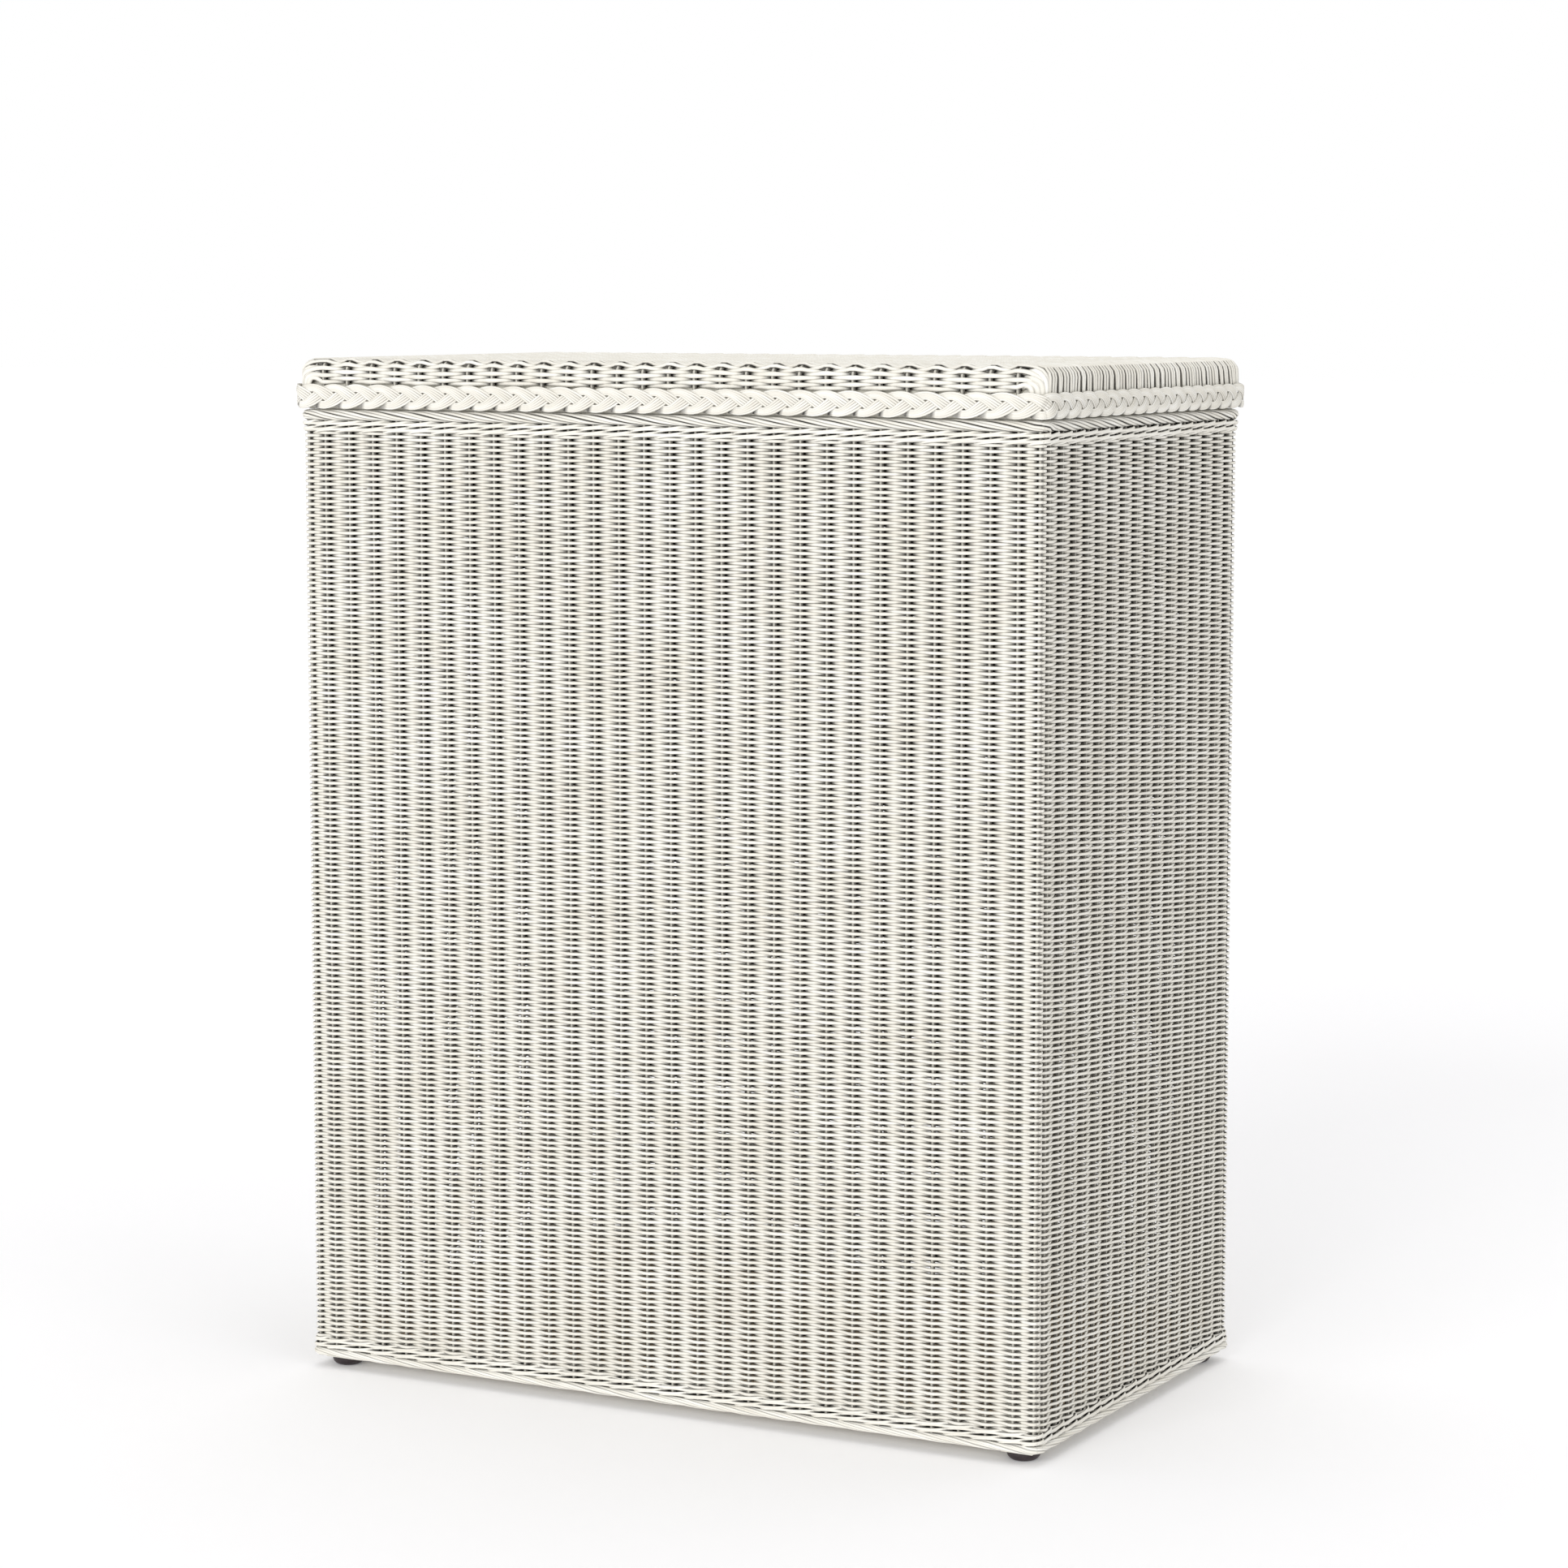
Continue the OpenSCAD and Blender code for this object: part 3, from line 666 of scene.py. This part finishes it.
def lid_rows(rows):
    """Rows over and under the ribs, which at both ends come down in loops behind the braid."""
    count, pitch = STAKES["front"], stake_pitch("front")
    between = (np.arange((count - 1) * LID_STEPS) + 0.5) / LID_STEPS
    k = np.concatenate([[0], between, [count - 1]])
    x = k * pitch - (count - 1) / 2 * pitch
    s = (rows + 0.5) * LID_SPAN / LID_ROWS
    wobble = LID_WOBBLE * np.sin(0.9 * k[None] + 0.31 * rows[:, None])
    y, z = lid_section(s[:, None] + wobble)
    mid = np.stack([np.broadcast_to(x, y.shape), y, z], axis=-1)
    share = np.linspace(0, 1, LOOP_STEPS + 1)[1:]
    stray = rng.uniform(-1, 1, (2, len(rows)))
    left = side_loop(rows, mid[:, 0], stray[0], -1, share)
    right = side_loop(rows, mid[:, -1], stray[1], 1, share)
    points = np.concatenate([left[:, ::-1], mid, right], axis=1)

    from_edge = np.minimum(rows, LID_ROWS - 1 - rows)
    at_corner = np.clip(CORNER_HOLD - from_edge / CORNER_ROWS, 0, 1)
    loop = loop_place(rows, stray[0], at_corner)
    fade = (1 - ease(np.clip(LOOP_FADE * share, 0, 1)))[None]
    wave = over_under(k[None] + rows[:, None])
    left_wave = wave[:, :1] * fade + loop * (1 - fade)
    right_wave = wave[:, -1:] * fade + loop * (1 - fade)
    wave = np.concatenate([left_wave[:, ::-1], wave, right_wave], axis=1)
    swell = 1 + CORNER_SWELL * at_corner[:, None] * ease(share)
    radius = LID_ROD_R * np.concatenate([swell[:, ::-1], np.ones(mid.shape[:2]), swell], axis=1)
    centre, direction = on_lid(points, SKIN_MID + LID_SWING * wave)
    tone = np.sin(rows * 2.39)[:, None] * 0.6 + 0.4 * np.sin(points[..., 0] * 31 + rows[:, None])
    return centre, direction, radius, tone, wave


def build_lid(material):
    halves = {"front": np.arange(LID_ROWS // 2), "back": np.arange(LID_ROWS // 2, LID_ROWS)}
    for half, rows in halves.items():
        strands = Strands()
        centre, direction, radius, tone, wave = lid_rows(rows)
        broad = spread_over(wave, OVER_RIB)
        strands.add(centre, direction, radius * broad, flat=LID_ROD_FLAT / broad, tone=tone,
                    front=wave, groove=LID_CREASE_SHADE)
        nodes = ["lid_weave_top", "lid_skirt_left", "lid_skirt_right", "lid_skirt_" + half]
        strands.piece("lid_wicker_" + half, "lid", material, "painted_wicker", nodes)


# ---- Material nodes ----


def new_material(name):
    material = bpy.data.materials.new(name)
    material.use_nodes = True
    tree = material.node_tree
    return material, tree, tree.nodes["Principled BSDF"]


def node(tree, kind, **settings):
    """A node with its inputs and settings given by name."""
    made = tree.nodes.new(kind)
    for key, value in settings.items():
        if key in made.inputs:
            made.inputs[key].default_value = value
        else:
            setattr(made, key, value)
    return made


def coordinate(tree, kind):
    return node(tree, "ShaderNodeTexCoord").outputs[kind]


def attribute(tree, name, kind="Fac"):
    return node(tree, "ShaderNodeAttribute", attribute_name=name).outputs[kind]


def stretched(tree, place, scale):
    made = node(tree, "ShaderNodeMapping", Scale=scale)
    tree.links.new(place, made.inputs["Vector"])
    return made.outputs["Vector"]


def noise(tree, place, **settings):
    made = node(tree, "ShaderNodeTexNoise", **settings)
    tree.links.new(place, made.inputs["Vector"])
    return made.outputs["Fac"]


def ramp(tree, source, stops):
    """Colours blended between the stops, each a place from 0 to 1 and its colour."""
    made = tree.nodes.new("ShaderNodeValToRGB")
    for element, (place, colour) in zip(made.color_ramp.elements, stops):
        element.position = place
        element.color = (*colour, 1)
    tree.links.new(source, made.inputs["Fac"])
    return made.outputs["Color"]


def grey(value):
    return (value, value, value)


def mix(tree, blend, factor, a, b):
    made = tree.nodes.new("ShaderNodeMix")
    made.data_type = "RGBA"
    made.blend_type = blend
    for socket, value in (("Factor_Float", factor), ("A_Color", a), ("B_Color", b)):
        target = next(i for i in made.inputs if i.identifier == socket)
        if isinstance(value, bpy.types.NodeSocket):
            tree.links.new(value, target)
        else:
            target.default_value = value if socket == "Factor_Float" else (*value, 1)
    return next(o for o in made.outputs if o.identifier == "Result_Color")


def add_bump(tree, shader, height, strength, distance):
    bump = node(tree, "ShaderNodeBump", Strength=strength, Distance=distance)
    tree.links.new(height, bump.inputs["Height"])
    tree.links.new(bump.outputs["Normal"], shader.inputs["Normal"])


# ---- Materials ----

PAINT = (0.89, 0.88, 0.835)
PAINT_WARM = (0.83, 0.81, 0.745)
WEAVE_SHADE_COLOUR = (0.016, 0.013, 0.011)  # painted shade, near black, where a strand lies deep in the weave
PAINTED_WOOD = ((0.84, 0.82, 0.74), (0.76, 0.73, 0.64))
# darker copy of the painted wood, as painted shade for the sticks deep in the weave
STICK_PAINT_IN_SHADE = ((0.58, 0.56, 0.50), (0.46, 0.44, 0.38))
# near-black painted shade on the sticks' flanks
STICK_FLANK_SHADE = (0.17, 0.16, 0.14)
PLYWOOD = ((0.74, 0.60, 0.42), (0.58, 0.44, 0.28))
DOWEL = ((0.72, 0.56, 0.36), (0.56, 0.40, 0.24))
STEEL = ((0.42, 0.42, 0.41), (0.60, 0.60, 0.58))
PLASTIC = ((0.018, 0.011, 0.013), (0.034, 0.022, 0.025))
FIBRE_SCALE = (45.0, 900.0, 900.0)  # streaks per metre along and across a strand
GRAIN_STRETCH = 14  # how much longer than broad the grain of wood is
FINE_BUMP = 0.2 * MM
WOOD_BUMP = 0.3 * MM
PLAIT_SHINE = 0.93  # brightness of the plait's paint over the wicker's


def wicker_material(name, fine, shine=1.0):
    """Off-white paint over peeled strands: fibre streaks along each strand and thin spots, with
    near-black painted shade where a strand lies deep in the weave and on its flanks."""
    material, tree, shader = new_material(name)
    link = tree.links.new
    along = stretched(tree, attribute(tree, "fibre", "Vector"), [fine * f for f in FIBRE_SCALE])
    streak = noise(tree, along, Scale=1.0, Detail=4.0, Roughness=0.6)
    cloud = noise(tree, coordinate(tree, "Object"), Scale=22.0, Detail=3.0)
    warm, clean = (tuple(shine * c for c in paint) for paint in (PAINT_WARM, PAINT))
    body = ramp(tree, streak, [(0.3, warm), (0.62, clean)])
    shade = ramp(tree, cloud, [(0.35, (0.93, 0.92, 0.90)), (0.7, (1, 1, 1))])
    toned = ramp(tree, attribute(tree, "tone"), [(0.0, (0.94, 0.93, 0.91)), (1.0, (1, 1, 1))])
    colour = mix(tree, "MULTIPLY", 1.0, body, shade)
    colour = mix(tree, "MULTIPLY", 1.0, colour, toned)
    # Painted shade: the strands' shade attribute blends the colour towards near black.
    deep = node(tree, "ShaderNodeMapRange")
    deep.inputs["From Min"].default_value = 0.1
    deep.inputs["From Max"].default_value = 0.9
    link(attribute(tree, "recess"), deep.inputs["Value"])
    colour = mix(tree, "MIX", deep.outputs["Result"], colour, WEAVE_SHADE_COLOUR)
    link(colour, shader.inputs["Base Color"])
    rough = ramp(tree, streak, [(0.3, grey(0.62)), (0.7, grey(0.48))])
    link(rough, shader.inputs["Roughness"])
    shader.inputs["Specular IOR Level"].default_value = 0.35
    add_bump(tree, shader, streak, 0.35, FINE_BUMP)
    return material


def grained_material(name, colours, scale, roughness, bump_distance, axis):
    """Wood whose grain runs along one axis, for painted and bare pieces. The colours are the
    light and the dark of the grain."""
    material, tree, shader = new_material(name)
    size = [scale] * 3
    size[axis] = scale / GRAIN_STRETCH
    along = stretched(tree, coordinate(tree, "Object"), size)
    grain = noise(tree, along, Scale=1.0, Detail=6.0, Roughness=0.62)
    light, dark = colours
    tree.links.new(ramp(tree, grain, [(0.32, dark), (0.66, light)]), shader.inputs["Base Color"])
    rough = ramp(tree, grain, [(0.3, grey(roughness + 0.08)), (0.7, grey(roughness - 0.08))])
    tree.links.new(rough, shader.inputs["Roughness"])
    add_bump(tree, shader, grain, 0.4, bump_distance)
    return material


def stick_shade_material(name, grain_axis, flank_axis):
    """Sticks that the strands are woven round, in a darker copy of the painted wood as painted
    shade. Their flanks, which face along flank_axis towards the next stick, get near-black painted
    shade."""
    material = grained_material(name, STICK_PAINT_IN_SHADE, 700.0, 0.55, FINE_BUMP, grain_axis)
    tree = material.node_tree
    base = tree.nodes["Principled BSDF"].inputs["Base Color"]
    painted = base.links[0].from_socket
    parts = node(tree, "ShaderNodeSeparateXYZ")
    tree.links.new(coordinate(tree, "Normal"), parts.inputs["Vector"])
    turned = node(tree, "ShaderNodeMath", operation="ABSOLUTE")
    tree.links.new(parts.outputs[flank_axis], turned.inputs[0])
    # Painted shade on the flanks that face along flank_axis.
    bare = ramp(tree, turned.outputs["Value"], [(0.3, grey(0)), (0.6, grey(1))])
    tree.links.new(mix(tree, "MIX", bare, painted, STICK_FLANK_SHADE), base)
    return material


def steel_material():
    """Steel brushed along X."""
    material, tree, shader = new_material("hinge steel")
    along = stretched(tree, coordinate(tree, "Object"), (60.0, 1800.0, 1800.0))
    brushed = noise(tree, along, Scale=1.0, Detail=3.0)
    dark, light = STEEL
    tree.links.new(ramp(tree, brushed, [(0.3, dark), (0.7, light)]), shader.inputs["Base Color"])
    rough = ramp(tree, brushed, [(0.3, grey(0.42)), (0.7, grey(0.28))])
    tree.links.new(rough, shader.inputs["Roughness"])
    shader.inputs["Metallic"].default_value = 1.0
    return material


def foot_material():
    """Dark plastic with a fine grain."""
    material, tree, shader = new_material("foot plastic")
    grain = noise(tree, coordinate(tree, "Object"), Scale=900.0, Detail=3.0)
    dark, light = PLASTIC
    tree.links.new(ramp(tree, grain, [(0.3, dark), (0.7, light)]), shader.inputs["Base Color"])
    shader.inputs["Roughness"].default_value = 0.42
    add_bump(tree, shader, grain, 0.2, FINE_BUMP)
    return material


def cad_finishes():
    """Words in the names of the CAD nodes that stay, with the finish of each. The first word
    that a name holds counts."""
    wood_x, wood_y, wood_z = (
        grained_material("painted wood " + "xyz"[axis], PAINTED_WOOD, 320.0, 0.5, WOOD_BUMP, axis)
        for axis in range(3)
    )
    long_side_stake = stick_shade_material("painted stake x", 2, 0)
    short_side_stake = stick_shade_material("painted stake y", 2, 1)
    rib = stick_shade_material("painted rib", 1, 0)
    ply = grained_material("plywood", PLYWOOD, 160.0, 0.6, FINE_BUMP, 0)
    dowel = grained_material("bare dowel", DOWEL, 500.0, 0.65, FINE_BUMP, 0)
    steel = steel_material()
    plastic = foot_material()
    return (
        ("post_", wood_z),
        ("rail_front", wood_x),
        ("rail_back", wood_x),
        ("rail_", wood_y),
        ("stakes_right", short_side_stake),
        ("stakes_left", short_side_stake),
        ("stakes_", long_side_stake),
        ("lid_ribs", rib),
        ("base_panel", ply),
        ("dowels", dowel),
        ("screws", steel),
        ("hinge_", steel),
        ("foot_", plastic),
    )


def finish_cad_nodes():
    """Gives every CAD node that stays its own finish."""
    finishes = cad_finishes()
    for name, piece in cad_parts.items():
        finish = next((finish for word, finish in finishes if word in name), None)
        if finish:
            piece.data.materials.clear()
            piece.data.materials.append(finish)


# ---- Stage, lights and camera ----

FLOOR_HALF = 30.0
FLOOR_GLOW = 0.1
SKY_STRENGTH = 0.71  # for what it lights, while the camera sees it as plain white
LAMPS = (  # name, strength, breadth in degrees and the way it shines
    ("front", 1.82, 40, (0.02, 1.0, -0.22)),
    ("side", 0.42, 50, (-1.0, 0.25, -0.35)),
    ("overhead", 0.49, 55, (0.12, -0.42, -1.0)),
)
CAMERA_EYE = (1.3786, -2.5599, 0.7458)
CAMERA_AZIMUTH = math.radians(28.14)  # to the right of the view from straight in front
CAMERA_RISE = math.radians(6.64)
CAMERA_LENS = 97.5
CAMERA_FILM = 36.0


def build_stage():
    mesh = bpy.data.meshes.new("floor")
    corners = [(x * FLOOR_HALF, y * FLOOR_HALF, 0) for x, y in ((-1, -1), (1, -1), (1, 1), (-1, 1))]
    mesh.from_pydata(corners, [], [(0, 1, 2, 3)])
    floor = bpy.data.objects.new("floor", mesh)
    bpy.context.scene.collection.objects.link(floor)
    material, _, shader = new_material("floor")
    shader.inputs["Base Color"].default_value = (0.92, 0.915, 0.925, 1)
    shader.inputs["Roughness"].default_value = 0.9
    shader.inputs["Specular IOR Level"].default_value = 0.0
    shader.inputs["Emission Color"].default_value = (1, 1, 1, 1)
    shader.inputs["Emission Strength"].default_value = FLOOR_GLOW
    mesh.materials.append(material)


def build_sky():
    """A white studio that lights the object softly, and a plain white backdrop in view."""
    world = bpy.data.worlds.new("studio")
    world.use_nodes = True
    tree = world.node_tree
    sky = tree.nodes["Background"]
    sky.inputs["Color"].default_value = (1, 1, 1, 1)
    sky.inputs["Strength"].default_value = SKY_STRENGTH
    backdrop = node(tree, "ShaderNodeBackground", Color=(1, 1, 1, 1), Strength=1.0)
    seen = node(tree, "ShaderNodeLightPath")
    either = node(tree, "ShaderNodeMixShader")
    tree.links.new(seen.outputs["Is Camera Ray"], either.inputs[0])
    tree.links.new(sky.outputs[0], either.inputs[1])
    tree.links.new(backdrop.outputs[0], either.inputs[2])
    tree.links.new(either.outputs[0], tree.nodes["World Output"].inputs["Surface"])
    bpy.context.scene.world = world


def build_lamps():
    for name, energy, breadth, towards in LAMPS:
        light = bpy.data.lights.new(name, "SUN")
        light.energy = energy
        light.angle = math.radians(breadth)
        lamp = bpy.data.objects.new(name, light)
        bpy.context.scene.collection.objects.link(lamp)
        lamp.rotation_euler = Vector(towards).to_track_quat("-Z", "Y").to_euler()


def build_camera():
    camera = bpy.data.cameras.new("camera")
    camera.lens = CAMERA_LENS
    camera.sensor_width = CAMERA_FILM
    camera.clip_end = 100.0
    eye = bpy.data.objects.new("camera", camera)
    level = math.cos(CAMERA_RISE)
    back = Vector((math.sin(CAMERA_AZIMUTH) * level,
                   -math.cos(CAMERA_AZIMUTH) * level, math.sin(CAMERA_RISE)))
    eye.matrix_world = (Matrix.Translation(CAMERA_EYE)
                        @ back.to_track_quat("Z", "Y").to_matrix().to_4x4())
    bpy.context.scene.collection.objects.link(eye)
    bpy.context.scene.camera = eye


build_camera()
bpy.context.scene.view_settings.view_transform = "Standard"
build_sky()
build_lamps()
build_stage()
wicker = wicker_material("painted wicker", 1.0)
rattan = wicker_material("painted rattan", 0.8)
plait = wicker_material("painted plait", 0.8, PLAIT_SHINE)
for side in SIDES:
    build_wall(side, wicker)
    build_top_border(side, rattan)
    build_bottom_border(side, rattan)
    build_braid(side, plait)
build_lid(wicker)
finish_cad_nodes()
